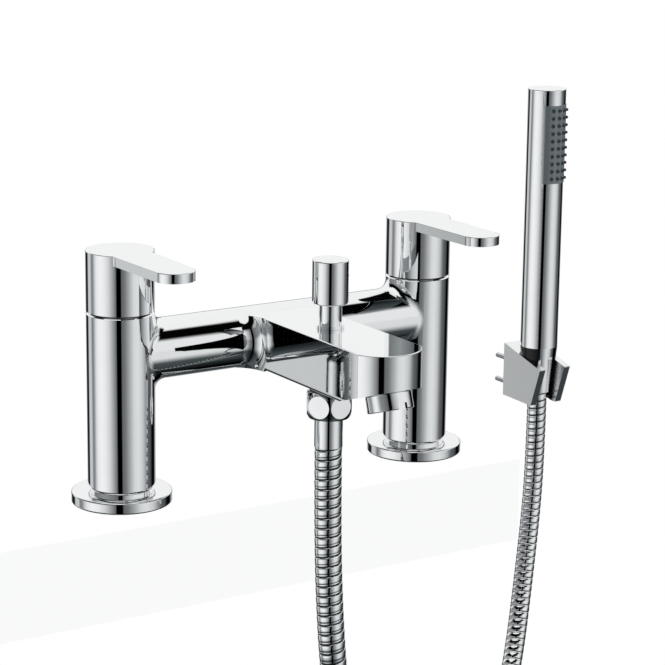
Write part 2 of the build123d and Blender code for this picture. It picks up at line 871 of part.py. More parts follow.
def coil_frame():
    """Start of the coil, its level direction, its sideways direction and its width."""
    start, end = Vector(*leg_mixer_route[-1]), Vector(*leg_handset_route[-1])
    span = Vector(end.X - start.X, end.Y - start.Y, 0)
    step = 2 * hose_radius + coil_turn_gap
    sideways_total = step * coil_half_turns / 2
    width = sqrt(span.length**2 - sideways_total**2)
    print(f"coil: mean diameter {width:.1f} mm, sideways {sideways_total:.1f} mm")
    lean = sideways_total / span.length
    along = span.normalized()
    side = Vector(-along.Y, along.X, 0)
    level = along * (width / span.length) - side * lean
    return start, level, Vector(-level.Y, level.X, 0), width


def coil_points():
    """Turns of half circles between two vertical tangents, with straight ends."""
    start, level, side, width = coil_frame()
    step = (2 * hose_radius + coil_turn_gap) / 2
    down = Vector(0, 0, -coil_lead)
    arcs = [Line(start, start + down)]
    here = start + down
    samples = []
    for half in range(coil_half_turns):
        way = 1 if half % 2 == 0 else -1
        across = level * (way * width) + side * step
        radius = across.length / 2
        there = here + across
        middle = here + across / 2 + Vector(0, 0, -way * radius)
        arc = ThreePointArc(here, middle, there)
        arcs.append(arc)
        samples.append([arc @ (k / 48) for k in range(49)])
        here = there
    arcs.append(Line(here, here - down))
    return arcs, samples


def hose_coil():
    arcs, samples = coil_points()
    path = Wire(arcs)
    section = Plane(origin=path @ 0, z_dir=path % 0) * Circle(hose_radius)
    gap = min((a - b).length for a in samples[0] for b in samples[2]) - 2 * hose_radius
    print(f"coil: length {path.length:.1f} mm, least gap between turns {gap:.2f} mm")
    return sweep(section, path)


def hose_tie():
    """Flat strap round the two lower turns of the coil."""
    start, level, side, width = coil_frame()
    step = 2 * hose_radius + coil_turn_gap
    centre = start + Vector(0, 0, -coil_lead - width / 2) + level * (width / 2) + side * (step * 3 / 4)
    frame = Plane(origin=centre, x_dir=side, z_dir=level)
    inner = SlotCenterToCenter(step, 2 * hose_radius + 2 * tie_gap)
    outer = SlotCenterToCenter(step, 2 * hose_radius + 2 * tie_gap + 2 * tie_thickness)
    return frame * extrude(outer - inner, tie_width / 2, both=True)


# Handset: modelled about the Z axis, then set in its place


def handset_place():
    return Pos(handset_x, handset_y, 0)


def panel_sector(inner, outer, low, high, half_angle):
    """Part of a round wall about the Z axis that faces the bather."""
    turn = radians(half_angle)
    start = (outer * sin(turn), -outer * cos(turn))
    end = (-outer * sin(turn), -outer * cos(turn))
    near_end = (-inner * sin(turn), -inner * cos(turn))
    near_start = (inner * sin(turn), -inner * cos(turn))
    face = make_face(
        ThreePointArc(start, (0, -outer), end)
        + Line(end, near_end)
        + ThreePointArc(near_end, (0, -inner), near_start)
        + Line(near_start, start)
    )
    return Rot(0, 0, panel_facing) * Pos(0, 0, low) * extrude(face, high - low)


def handset_tube():
    body = ring(handset_radius, handset_radius - handset_wall, tube_bottom, handset_top - cap_height)
    gap_angle = panel_half_angle + 180 * film_gap / (pi * handset_radius)
    inner = handset_radius - 2 * handset_wall
    low, high = panel_bottom - film_gap, panel_top + film_gap
    return handset_place() * (body - panel_sector(inner, handset_radius + overrun, low, high, gap_angle))


def handset_cap():
    seam = handset_top - cap_height + film_gap
    body = ring(handset_radius, 0, seam, handset_top)
    body = fillet(body.edges().group_by(Axis.Z)[-1], cap_edge)
    plug = handset_radius - handset_wall - fixed_gap
    return handset_place() * (body + ring(plug, 0, seam - cap_spigot_height, seam + film_gap))


def nozzle():
    """One soft nozzle, standing out along +Z from the panel's face."""
    return Cone(nozzle_radius, nozzle_tip_radius, nozzle_length + panel_proud, align=(Align.CENTER,) * 2 + (Align.MIN,))


def nozzle_panel():
    face = handset_radius + panel_proud
    body = panel_sector(face - panel_thickness, face, panel_bottom, panel_top, panel_half_angle)
    first = panel_bottom + nozzle_first_height
    middle = (nozzle_columns - 1) / 2
    for row in range(nozzle_rows):
        for column in range(nozzle_columns):
            turn = panel_facing + nozzle_column_angle * (column - middle)
            out = Plane.XZ.offset(handset_radius).location
            height = first + nozzle_row_pitch * row
            body += Rot(0, 0, turn) * Pos(0, 0, height) * out * nozzle()
    return handset_place() * body


def spray_housing():
    """Inner water housing that backs the nozzle panel."""
    outer = handset_radius + panel_proud - panel_thickness - fixed_gap
    low = panel_top + housing_drop - housing_length
    body = ring(outer, outer - housing_wall, low, panel_top + housing_drop)
    floor = ring(outer, inlet_bore_radius, low, low + housing_wall)
    return handset_place() * (body + floor)


def handset_inlet():
    plug = handset_radius - handset_wall - fixed_gap
    body = ring(plug, 0, tube_bottom + film_gap, tube_bottom + inlet_plug_height)
    body += ring(inlet_thread_radius, 0, inlet_end, tube_bottom + overrun)
    bore = ring(inlet_bore_radius, 0, inlet_end - overrun, tube_bottom + inlet_plug_height + overrun)
    return handset_place() * (body - bore)


def handset_washer():
    """Rubber washer with the bars of a strainer across its hole."""
    body = ring(end_washer_radius, inlet_bore_radius, end_washer_bottom, inlet_end)
    bar = Box(2 * inlet_bore_radius + strainer_bar, strainer_bar, strainer_bar)
    bar = Pos(0, 0, end_washer_bottom + end_washer_thickness / 2) * bar
    return handset_place() * (body + bar + Rot(0, 0, 90) * bar)


def handset_cone_nut():
    body = turned(
        [(0, nut_top), (cone_top_radius, nut_top), (cone_bottom_radius, cone_bottom), (0, cone_bottom)]
    )
    body = fillet(body.edges().filter_by(GeomType.CIRCLE), cone_edge)
    body -= ring(inlet_thread_radius + film_gap, 0, nut_shoulder, nut_top + overrun)
    body -= ring(end_core_radius + running_gap, 0, cone_bottom - overrun, nut_top)
    return handset_place() * body


def hose_end_ferrule():
    body = ring(end_core_radius, 0, cone_bottom, end_collar_top)
    body += ring(end_collar_radius, 0, end_collar_bottom, end_collar_top)
    body -= ring(ferrule_bore_radius, 0, cone_bottom - overrun, end_collar_top + overrun)
    return handset_place() * body


# Wall bracket


def cone_pocket(extra, low, high):
    """Tapered hole round the conical nut, wider than it by extra."""
    return turned(
        [(0, low), (cone_radius(low) + extra, low), (cone_radius(high) + extra, high), (0, high)]
    )


def bracket_block():
    """Side outline of the bracket, carried across its width."""
    outline = Polyline(
        (wall_distance, bracket_back_top),
        (-bracket_front_reach, bracket_front_top),
        (-bracket_lower_front_reach, bracket_front_bottom),
        (wall_distance, bracket_back_bottom),
        close=True,
    )
    return extrude(Plane.YZ * make_face(outline), bracket_width / 2, both=True)


def screw_levels():
    return [screw_mid + bracket_screw_spacing / 2, screw_mid - bracket_screw_spacing / 2]


def bracket_body():
    low, high = bracket_front_bottom - overrun, bracket_back_top + overrun
    body = bracket_block()
    body = fillet(body.edges().filter_by(Axis.X), bracket_edge)
    body -= cone_pocket(free_gap + liner_thickness + fixed_gap, low, high)
    slot = Box(bracket_slot_width, bracket_front_reach + overrun, high - low + overrun)
    body -= Pos(0, -(bracket_front_reach + overrun) / 2, (low + high) / 2) * slot
    for level in screw_levels():
        hole = extrude(Circle(bracket_screw_neck_radius + film_gap), -wall_distance - overrun)
        body -= Pos(0, 0, level) * Plane.XZ.location * hole
        sink = extrude(Circle(bracket_screw_head_radius + film_gap), -screw_head_y())
        body -= Pos(0, 0, level) * Plane.XZ.location * sink
    return handset_place() * body


def screw_head_y():
    """Depth of the screw heads' backs, behind the liner."""
    widest = cone_radius(screw_levels()[0] + bracket_screw_head_radius)
    pocket = widest + free_gap + liner_thickness + fixed_gap
    return pocket + bracket_screw_head_height + fixed_gap


def bracket_insert():
    """Black tapered liner, open to the front for the hose."""
    low, high = bracket_front_bottom + liner_thickness, bracket_back_top + liner_rise
    body = cone_pocket(free_gap + liner_thickness, low, high)
    body -= cone_pocket(free_gap, low - overrun, high + overrun)
    slot = Box(liner_slot_width, bracket_front_reach + overrun, high - low + overrun)
    body -= Pos(0, -(bracket_front_reach + overrun) / 2, (low + high) / 2) * slot
    return handset_place() * body


def bracket_screw(level):
    back = screw_head_y() - fixed_gap
    neck = extrude(Circle(bracket_screw_neck_radius), -(wall_distance - back))
    head = extrude(Circle(bracket_screw_head_radius), bracket_screw_head_height)
    shank = extrude(Circle(bracket_screw_radius), -bracket_screw_length)
    screw = Pos(0, back, level) * Plane.XZ.location * (neck + head)
    return screw + Pos(0, wall_distance, level) * Plane.XZ.location * shank


def bracket_screws():
    screws = [bracket_screw(level) for level in screw_levels()]
    return grouped(handset_place(), screws)


# Writing the pieces out

paired = {
    "base_flange": base_flange,
    "base_gasket": base_gasket,
    "inlet_tail": inlet_tail,
    "seat_seal": seat_seal,
    "fixed_disc": fixed_disc,
    "moving_disc": moving_disc,
    "cartridge_body": cartridge_body,
    "cartridge_o_ring": cartridge_o_ring,
    "spindle": spindle,
    "spindle_clip": spindle_clip,
    "lever": lever,
    "grub_screw": grub_screw,
    "screw_cap": screw_cap,
}
for piece, make in paired.items():
    shape = make()
    write(f"hot_{piece}", Pos(-inlet_spacing / 2, 0, 0) * shape)
    write(f"cold_{piece}", Pos(inlet_spacing / 2, 0, 0) * shape)

for piece, make in {"deck_washers": deck_washer, "backnuts": backnut}.items():
    shape = make()
    write(piece, Compound(children=[Pos(side * inlet_spacing / 2, 0, 0) * shape for side in (-1, 1)]))

singles = [
    mixer_body,
    diverter_bonnet,
    diverter_o_rings,
    diverter_knob,
    diverter_stem,
    diverter_valve_washers,
    diverter_spring,
    aerator_housing,
    aerator_insert,
    aerator_washer,
    shower_outlet_spigot,
    hose_washer,
    hose_nut,
    hose_ferrule,
    hose_coil,
    hose_tie,
    handset_tube,
    handset_cap,
    nozzle_panel,
    spray_housing,
    handset_inlet,
    handset_washer,
    handset_cone_nut,
    hose_end_ferrule,
    bracket_body,
    bracket_insert,
    bracket_screws,
]
for make in singles:
    write(make.__name__, make())

write("hose_leg_mixer", ribbed_leg(leg_mixer_route, "hose_leg_mixer"))
write("hose_leg_handset", ribbed_leg(leg_handset_route, "hose_leg_handset"))
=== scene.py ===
import json

import bpy
import numpy as np
from mathutils import Matrix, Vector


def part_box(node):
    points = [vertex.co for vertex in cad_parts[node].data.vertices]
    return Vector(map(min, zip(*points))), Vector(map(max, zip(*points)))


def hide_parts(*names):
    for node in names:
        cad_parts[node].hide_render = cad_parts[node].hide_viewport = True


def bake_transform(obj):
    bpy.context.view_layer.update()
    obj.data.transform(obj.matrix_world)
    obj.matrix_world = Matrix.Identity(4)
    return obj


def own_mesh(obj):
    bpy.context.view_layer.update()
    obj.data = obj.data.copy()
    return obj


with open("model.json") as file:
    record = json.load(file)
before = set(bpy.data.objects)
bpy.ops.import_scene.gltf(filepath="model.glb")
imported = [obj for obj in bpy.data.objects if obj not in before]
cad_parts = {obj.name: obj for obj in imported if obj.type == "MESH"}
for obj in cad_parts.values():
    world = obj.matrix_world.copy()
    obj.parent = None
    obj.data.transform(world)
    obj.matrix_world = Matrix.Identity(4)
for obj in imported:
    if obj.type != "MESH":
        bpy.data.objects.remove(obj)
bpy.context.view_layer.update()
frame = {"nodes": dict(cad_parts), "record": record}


# Photograph's view. The mixer is seen from the hot side and a little above,
# through a long lens, with the spout pointing to the front right.

eye = (-0.62938, -1.02709, 0.36767)
right = (0.84078, -0.54123, 0.01242)
up = (0.11680, 0.20375, 0.97203)
ahead = (0.52862, 0.81582, -0.23452)
focal_pixels = 2379.651
picture_pixels = 665
sensor_width = 36.0
far_clip = 100.0

lens = bpy.data.cameras.new("photo_view")
lens.sensor_width = sensor_width
lens.lens = sensor_width * focal_pixels / picture_pixels
lens.clip_end = far_clip
camera = bpy.data.objects.new("photo_view", lens)
axes = np.array([right, up, np.negative(ahead), eye]).T
camera.matrix_world = Matrix(np.vstack([axes, [0, 0, 0, 1]]).tolist())
bpy.context.scene.collection.objects.link(camera)
bpy.context.scene.camera = camera
bpy.context.scene.view_settings.view_transform = "Standard"


# Studio round the mixer: a white room with a dark slit where the viewer stands,
# dark flags at the far sides and a dark gap below the ceiling's light. Polished
# metal has no look but what it mirrors, so the room is drawn by angle.


class Signal:
    """One output in a shader graph. Sums and products of signals add Math nodes."""

    def __init__(self, graph, socket):
        self.graph, self.socket = graph, socket

    def math(self, operation, *others):
        values = dict(enumerate((self, *others)))
        return self.graph.add("ShaderNodeMath", {"operation": operation}, values)

    def __add__(self, other):
        return self.math("ADD", other)

    def __sub__(self, other):
        return self.math("SUBTRACT", other)

    def __rsub__(self, other):
        return self.graph.add("ShaderNodeMath", {"operation": "SUBTRACT"}, {0: other, 1: self})

    def __mul__(self, other):
        return self.math("MULTIPLY", other)

    def __truediv__(self, other):
        return self.math("DIVIDE", other)

    __radd__, __rmul__ = __add__, __mul__

    def between(self, low, high):
        """0 below low, 1 above high, and smooth between them."""
        settings = {"interpolation_type": "SMOOTHSTEP"}
        return self.graph.add("ShaderNodeMapRange", settings, {"Value": self, 1: low, 2: high})

    def parts(self):
        """The three numbers of a vector."""
        split = self.graph.add("ShaderNodeSeparateXYZ", None, {"Vector": self})
        return [Signal(self.graph, socket) for socket in split.socket.node.outputs]


class Graph:
    """Nodes of one material or of the studio's light."""

    def __init__(self, tree):
        self.tree = tree
        tree.nodes.clear()

    def add(self, kind, settings=None, values=None, output=0):
        """A node with its settings made first, then the values or links of its sockets."""
        node = self.tree.nodes.new(kind)
        for name, value in (settings or {}).items():
            if name == "stops":
                while len(node.color_ramp.elements) < len(value):
                    node.color_ramp.elements.new(1.0)
                for stop, (place, colour) in zip(node.color_ramp.elements, value):
                    stop.position, stop.color = place, colour
            else:
                setattr(node, name, value)
        for name, value in (values or {}).items():
            if isinstance(value, Signal):
                self.tree.links.new(value.socket, node.inputs[name])
            else:
                node.inputs[name].default_value = value
        return Signal(self, node.outputs[output] if node.outputs else None)

    def mix(self, share, one, other, blend="MIX"):
        """Colour that goes from one to the other as share goes from 0 to 1. With another
        blend, such as MULTIPLY, it goes to the two laid over each other."""
        settings = {"data_type": "RGBA", "blend_type": blend}
        return self.add("ShaderNodeMix", settings, {0: share, 6: one, 7: other}, 2)


def tone(colour, share=1.0):
    """Opaque colour, darkened to a share of its light."""
    return (*[channel * share for channel in colour], 1.0)


display_gamma = 2.2
coolness = 0.12


def grey(level):
    """Linear colour of a grey from 0 to 255: its level to the display's power, with
    less red and more blue the darker it is."""
    value = (level / 255) ** display_gamma
    cool = coolness * (1 - level / 255)
    return tone((value * (1 - cool), value, value * (1 + cool / 2)))


# Pairs of an angle round the room and a grey. At 0 degrees the viewer stands.
wall_levels = [
    (-180, 235), (-163, 215), (-152, 60), (-136, 12), (-131, 60), (-126, 205), (-112, 200),
    (-103, 118), (-95, 155), (-87, 215), (-79, 238), (-65, 248), (-50, 240), (-34, 214),
    (-20, 160), (-9, 104), (-7, 3), (7, 3), (9, 102), (20, 120), (34, 170), (50, 218),
    (64, 226), (79, 208), (88, 182), (96, 138), (104, 100), (118, 84), (128, 16), (146, 10),
    (160, 180), (180, 235),
]
upper_levels = [
    (-180, 240), (-140, 225), (-126, 120), (-100, 128), (-60, 150), (-25, 122), (-9, 96),
    (-7, 3), (7, 3), (9, 110), (25, 180), (50, 232), (80, 236), (100, 220), (114, 180),
    (128, 60), (146, 90), (160, 225), (180, 240),
]
# Each change in the room, as the degrees at which it begins and is complete: first
# those that go by the angle from the viewer, then those that go by height.
rear_turn = (112, 124)
far_wall_turn = (148, 158)
low_wall_rise = (-42, -20)
horizon_foot_rise = (-10, -6)
upper_wall_rise = (-4, 5)
horizon_top_rise = (3, 5)
gap_rise = (27, 39)
ceiling_rise = (57, 61)

pure_white = (1, 1, 1, 1)
low_wall_shade = (0.085, 0.100, 0.106, 1)
gap_black = (0.001, 0.001, 0.001, 1)
horizon_grey = (0.14, 0.15, 0.155, 1)
ceiling_white = (0.93, 0.93, 0.93, 1)
degrees = 180 / np.pi

studio = bpy.data.worlds.new("studio")
studio.use_nodes = True
bpy.context.scene.world = studio
room = Graph(studio.node_tree)
ahead_east, ahead_north = (np.array(ahead[:2]) / np.hypot(*ahead[:2])).tolist()
east, north, rise = room.add("ShaderNodeTexCoord", output="Generated").parts()
toward = east * -ahead_east - north * ahead_north
across = east * ahead_north - north * ahead_east
turn = across.math("ARCTAN2", toward) * degrees
height = rise.math("ARCSINE") * degrees


def round_the_room(levels):
    """Colour of a wall by the angle at which it stands, from pairs of angle and grey."""
    stops = [((angle + 180) / 360, grey(level)) for angle, level in levels]
    return room.add("ShaderNodeValToRGB", {"stops": stops}, {0: (turn + 180) / 360})


aside = turn.math("ABSOLUTE")
rear = aside.between(*rear_turn)
lower, upper = round_the_room(wall_levels), round_the_room(upper_levels)
walls = room.mix(height.between(*upper_wall_rise), lower, upper)
low_light = room.mix(height.between(*low_wall_rise), low_wall_shade, pure_white)
shaded = room.mix(1.0, walls, low_light, "MULTIPLY")
gapped = room.mix(height.between(*gap_rise) * (1 - rear), shaded, gap_black)
above_horizon = height.between(*horizon_top_rise)
horizon = height.between(*horizon_foot_rise) * (1 - above_horizon) * aside.between(*far_wall_turn)
lined = room.mix(horizon, gapped, horizon_grey)
ceiling = height.between(*ceiling_rise).math("MAXIMUM", above_horizon * rear)
lit = room.mix(ceiling, lined, ceiling_white)
backdrop = room.mix(room.add("ShaderNodeLightPath", output="Is Camera Ray"), lit, pure_white)
light = room.add("ShaderNodeBackground", None, {"Color": backdrop, "Strength": 1.0})
room.add("ShaderNodeOutputWorld", None, {"Surface": light})


# Floor: the bath's wide edge under the mixer, and the ground at the level where the
# hose's coil hangs, both plain white. The edge's sides are painted a shade darker than
# its top, as painted shade by the way each face looks. Polished metal shows the studio
# alone, so neither is mirrored.

deck_corners = ((-0.400, -0.0435, -0.046), (0.130, 0.400, -0.0002))
ground_reach = 30.0
ground_thickness = 0.05
# Painted shade: the edge's sides are coloured this little darker than its top.
shaded_side_white = (0.945, 0.948, 0.952, 1)
level_face = (0.3, 0.7)


def plate(name, low, high):
    """Flat block between two corners, made of its eight corner points and six faces."""
    pick = np.array([[i & 1, i >> 1 & 1, i >> 2 & 1] for i in range(8)])
    points = np.where(pick == 1, high, low)
    faces = [(0, 2, 3, 1), (4, 5, 7, 6), (0, 1, 5, 4), (2, 6, 7, 3), (0, 4, 6, 2), (1, 3, 7, 5)]
    mesh = bpy.data.meshes.new(name)
    mesh.from_pydata(points.tolist(), [], faces)
    piece = bpy.data.objects.new(name, mesh)
    bpy.context.scene.collection.objects.link(piece)
    return piece


deck = plate("deck", *deck_corners)
coil_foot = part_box("hose_coil")[0].z
ground_low = (-ground_reach, -ground_reach, coil_foot - ground_thickness)
ground = plate("ground", ground_low, (ground_reach, ground_reach, coil_foot))

paint = bpy.data.materials.new("white_with_painted_side_shade")
paint.use_nodes = True
painted = Graph(paint.node_tree)
# Painted shade: faces that look sideways take the darker side white, faces that look up full
# white.
upward = painted.add("ShaderNodeNewGeometry", output="Normal").parts()[2]
white = painted.mix(upward.between(*level_face), shaded_side_white, pure_white)
glow = painted.add("ShaderNodeEmission", None, {"Color": white, "Strength": 1.0})
painted.add("ShaderNodeOutputMaterial", None, {"Surface": glow})
for stage_piece in (deck, ground):
    stage_piece.data.materials.append(paint)
    stage_piece.visible_glossy = False

sun = bpy.data.lights.new("soft_light", "SUN")
sun.energy = 2.6
sun.angle = 1.4
soft_light = bpy.data.objects.new("soft_light", sun)
soft_light.rotation_euler = (0.30, -0.22, 0.0)
soft_light.visible_glossy = False
bpy.context.scene.collection.objects.link(soft_light)


# Shower hose: a strip of chromed steel wound into a convoluted tube of 14 mm,
# 1.6 m long, with its spare length in three half turns that hang under a strap.
# It leaves the ferrule below the spout and ends in the ferrule under the handset.

hose_sides = 28
points_in_span = 24
rib_pitch = 0.00515
leg_from_mixer = [
    (0.0, -0.0533, 0.0289), (0.0, -0.0533, -0.0040), (-0.0006, -0.0564, -0.0500),
    (0.0020, -0.0585, -0.0980), (0.0200, -0.0430, -0.1460), (0.0540, -0.0130, -0.1920),
    (0.0980, 0.0260, -0.2400), (0.1390, 0.0620, -0.2900), (0.1640, 0.0865, -0.3380),
    (0.1743, 0.0955, -0.3760), (0.1743, 0.0955, -0.4060),
]
leg_to_handset = [
    (0.2818, 0.1895, -0.4060), (0.2818, 0.1895, -0.3820), (0.2874, 0.1944, -0.3580),
    (0.3036, 0.2080, -0.3310), (0.3320, 0.2320, -0.3020), (0.3650, 0.2605, -0.2620),
    (0.3890, 0.2830, -0.2130), (0.4058, 0.2976, -0.1620), (0.4094, 0.3004, -0.1160),
    (0.4094, 0.3004, -0.0791),
]
coil_lead = 0.014
coil_step = 0.0075
coil_half_turns = 3
points_in_half_turn = 8

# Profile of the strip over one pitch: shares of the pitch, and the radius at each.
strip_shares = [0.0, 0.05, 0.22, 0.45, 0.66, 0.70, 0.735, 0.88, 0.92, 0.965]
strip_radii = [
    0.00688, 0.00702, 0.00707, 0.00707, 0.00703, 0.00690, 0.00697, 0.00695, 0.00650, 0.00646,
]

bright_chrome = (0.93, 0.94, 0.945)
hazed_strip = (0.86, 0.87, 0.88)
# Painted shade: the colour down in the groove, near black where shade falls between the ribs.
groove_shade_black = (0.012, 0.013, 0.014)
groove_depth = (0.30, 0.62)
crest_roughness = 0.025
haze_roughness = 0.05
groove_roughness = 0.40


def coil_turns(start, end):
    """Half turns between two level points: each goes half round a circle that stands
    upright, and steps sideways by coil_step as it goes."""
    span = np.subtract(end, start)[:2]
    reach = np.hypot(*span)
    sideways = coil_half_turns * coil_step
    width = np.sqrt(span @ span - sideways**2)
    along, beside = span / reach, np.array([-span[1], span[0]]) / reach
    level = (along * width - beside * sideways) / reach
    side = np.array([-level[1], level[0]])
    part = (np.arange(coil_half_turns * points_in_half_turn) + 0.5) / points_in_half_turn
    angle = np.pi * part
    out = (1 - np.cos(angle)) * width / 2
    drop = -coil_lead - np.sin(angle) * width / 2
    flat = np.outer(out, level) + np.outer(part * coil_step, side)
    return np.column_stack([flat, drop]) + np.array(start)


def hose_line(points):
    """Points along the smooth spline that the hose's control points pull."""
    curve = bpy.data.curves.new("hose_line", "CURVE")
    curve.dimensions = "3D"
    curve.resolution_u = points_in_span
    spline = curve.splines.new("NURBS")
    spline.points.add(len(points) - 1)
    spline.points.foreach_set("co", np.column_stack([points, np.ones(len(points))]).ravel())
    spline.order_u = 3
    spline.use_endpoint_u = True
    holder = bpy.data.objects.new("hose_line", curve)
    mesh = bpy.data.meshes.new_from_object(holder)
    line = np.empty(3 * len(mesh.vertices))
    mesh.vertices.foreach_get("co", line)
    bpy.data.objects.remove(holder)
    bpy.data.meshes.remove(mesh)
    return line.reshape(-1, 3)


def wound_tube(line, shares, radii, pitch, sides, beside):
    """Strip wound along a line. A row of the strip starts at a share of the pitch and
    climbs one pitch on its way round, so that the ribs are a screw. Each of its points
    stands off the line by the row's radius, on a circle square to the line that starts
    on the side beside. Gives the points, the faces, and the depth of each point below
    the crest, from 0 to 1."""
    steps = np.linalg.norm(np.diff(line, axis=0), axis=1)
    run = np.concatenate([[0], np.cumsum(steps)])
    turns = round(run[-1] / pitch)
    pitch = run[-1] / turns
    rows = (np.arange(-1, turns)[:, None] + np.array(shares)).ravel()
    rows = np.append(rows, turns)
    size = np.append(np.tile(radii, turns + 1), radii[0])
    angle = np.arange(sides) / sides
    place = np.clip((rows[:, None] + angle) * pitch, 0, run[-1])
    size = np.where((place <= 0) | (place >= run[-1]), radii[0], size[:, None])
    centre = np.stack([np.interp(place, run, line[:, k]) for k in range(3)], -1)
    heading = np.gradient(line, run, axis=0)
    heading = np.stack([np.interp(place, run, heading[:, k]) for k in range(3)], -1)
    heading /= np.linalg.norm(heading, axis=-1, keepdims=True)
    first = beside - heading * (heading @ beside)[..., None]
    first /= np.linalg.norm(first, axis=-1, keepdims=True)
    second = np.cross(heading, first)
    spin = 2 * np.pi * angle[None, :, None]
    points = centre + size[..., None] * (first * np.cos(spin) + second * np.sin(spin))
    per_turn = len(shares)
    index = np.arange(len(rows) * sides).reshape(-1, sides)
    here, there = index[:-1], index[1:]
    body = np.stack([here[:, :-1], here[:, 1:], there[:, 1:], there[:, :-1]], -1).reshape(-1, 4)
    last, last_up = index[:-1 - per_turn, -1], index[1:-per_turn, -1]
    wrap, wrap_up = index[per_turn:-1, 0], index[per_turn + 1:, 0]
    seam = np.stack([last, wrap, wrap_up, last_up], -1)
    depth = (max(radii) - size) / (max(radii) - min(radii))
    return points.reshape(-1, 3), np.vstack([body, seam]), depth


def grid_mesh(name, points, faces, finish, depth):
    """Smooth piece from an array of points and an array of four-sided faces. Depth is
    a number for each point, which the finish reads."""
    mesh = bpy.data.meshes.new(name)
    mesh.vertices.add(len(points))
    mesh.vertices.foreach_set("co", np.asarray(points, np.float32).ravel())
    mesh.loops.add(faces.size)
    mesh.loops.foreach_set("vertex_index", faces.ravel().astype(np.int32))
    mesh.polygons.add(len(faces))
    starts = np.arange(0, faces.size, faces.shape[1], dtype=np.int32)
    mesh.polygons.foreach_set("loop_start", starts)
    mesh.polygons.foreach_set("use_smooth", np.full(len(faces), True))
    mesh.update(calc_edges=True)
    layer = mesh.attributes.new("depth", "FLOAT", "POINT")
    layer.data.foreach_set("value", np.asarray(depth, np.float32).ravel())
    mesh.materials.append(finish)
    piece = bpy.data.objects.new(name, mesh)
    bpy.context.scene.collection.objects.link(piece)
    return piece


class Finish(Graph):
    """Procedural finish of one kind of piece, on Object coordinates in metres."""

    def __init__(self, name):
        self.material = bpy.data.materials.new(name)
        self.material.use_nodes = True
        super().__init__(self.material.node_tree)
        self.place = self.add("ShaderNodeTexCoord", output="Object")

    def noise(self, scale, detail=2.0, stretch=None):
        """Cloudy value round one half; scale is its number of blobs in a metre."""
        where = self.place
        if stretch:
            where = self.add("ShaderNodeMapping", None, {"Vector": where, "Scale": stretch})
        values = {"Vector": where, "Scale": scale, "Detail": detail}
        return self.add("ShaderNodeTexNoise", None, values)

    def haze(self, scale=140.0):
        """Patches from 0 to 1 that the polishing mop leaves, scale of them in a metre."""
        return self.noise(scale, detail=3.0).between(0.35, 0.75)

    def bump(self, height, distance):
        """Relief of a height from 0 to 1 that is so many metres high at 1."""
        return self.add("ShaderNodeBump", None, {"Height": height, "Distance": distance})

    def surface(self, **values):
        """Ends the finish with its shader; names are the shader's sockets."""
        sockets = {name.replace("_", " "): value for name, value in values.items()}
        shader = self.add("ShaderNodeBsdfPrincipled", None, sockets)
        self.add("ShaderNodeOutputMaterial", None, {"Surface": shader})
        return self.material


def wound_strip():
    """Chromed strip, bright on its crests, and dull down in the groove, where its colour
    is painted near black as painted shade. The mark called depth goes from 0 at the crest
    to 1 at the bottom."""
    finish = Finish("wound_strip")
    depth = finish.add("ShaderNodeAttribute", {"attribute_name": "depth"}, output="Fac")
    groove = depth.between(*groove_depth)
    haze = finish.haze(scale=220.0)
    tint = finish.mix(haze * 0.6, tone(bright_chrome), tone(hazed_strip))
    shaded = finish.mix(groove, tint, tone(groove_shade_black))
    rough = crest_roughness + haze * haze_roughness + groove * groove_roughness
    return finish.surface(Base_Color=shaded, Metallic=1.0, Roughness=rough)


half_turns = coil_turns(leg_from_mixer[-1], leg_to_handset[0])
route = hose_line(np.vstack([leg_from_mixer, half_turns, leg_to_handset]))
hose_span = np.subtract(leg_to_handset[-1], leg_from_mixer[0])
square_to_span = np.cross(hose_span, (0, 0, 1))
square_to_span /= np.linalg.norm(square_to_span)
points, faces, depth = wound_tube(
    route, strip_shares, strip_radii, rib_pitch, hose_sides, square_to_span
)
shower_hose = grid_mesh("shower_hose", points, faces, wound_strip(), depth)
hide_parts("hose_leg_mixer", "hose_coil", "hose_leg_handset")
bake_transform(shower_hose)


# Cast body with its pillars, bridge and spout, and the two spun base flanges:
# brass, ground, polished by hand and chromed, so the shine is even with only a
# faint haze left by the mop.

spun_tint = (0.92, 0.93, 0.935)


def dress(finish, *nodes):
    """Gives CAD nodes their finish; their shape stays as it is."""
    for node in nodes:
        mesh = frame["nodes"][node].data
        mesh.materials.clear()
        mesh.materials.append(finish)


def chrome(name, colour, smooth, dull, wave=0.0, wave_scale=60.0):
    """Chrome whose roughness goes from smooth to dull with a faint haze and the fine
    upright lines of the mop and, on a casting, with a slow wave that is wave high."""
    finish = Finish(name)
    haze = finish.haze()
    fine = finish.noise(scale=2600.0, detail=1.0, stretch=(1.0, 1.0, 0.12)).between(0.55, 0.80)
    rough = smooth + (dull - smooth) * (haze * 0.6 + fine * 0.4)
    tint = finish.mix(haze * 0.5, tone(colour), tone(colour, share=0.965))
    swell = finish.bump(finish.noise(wave_scale, detail=1.0), wave)
    return finish.surface(Base_Color=tint, Metallic=1.0, Roughness=rough, Normal=swell)


cast_chrome = chrome("cast_chrome", bright_chrome, smooth=0.020, dull=0.045, wave=0.00001)
spun_chrome = chrome("spun_chrome", spun_tint, smooth=0.020, dull=0.055)
dress(cast_chrome, "mixer_body")
dress(spun_chrome, "hot_base_flange", "cold_base_flange")


# Levers: die-cast zinc under chrome, a drum with a flat paddle, each with a
# pressed cap over its grub screw.

lever_chrome = chrome(
    "lever_chrome", bright_chrome, smooth=0.022, dull=0.050, wave=0.000008, wave_scale=40.0
)
dress(lever_chrome, "hot_lever", "cold_lever", "hot_screw_cap", "cold_screw_cap")


# Diverter: a turned and chromed knob and bonnet on a brass stem, with its spring,
# its valve washers and its O-rings inside the body. The spring is pressed together
# against its seat when the knob goes up; here it only gets a mesh of its own, in the
# shape it comes in.

hazed_chrome = (0.90, 0.91, 0.915)
mark_scale = 60.0
mark_squeeze = 90.0


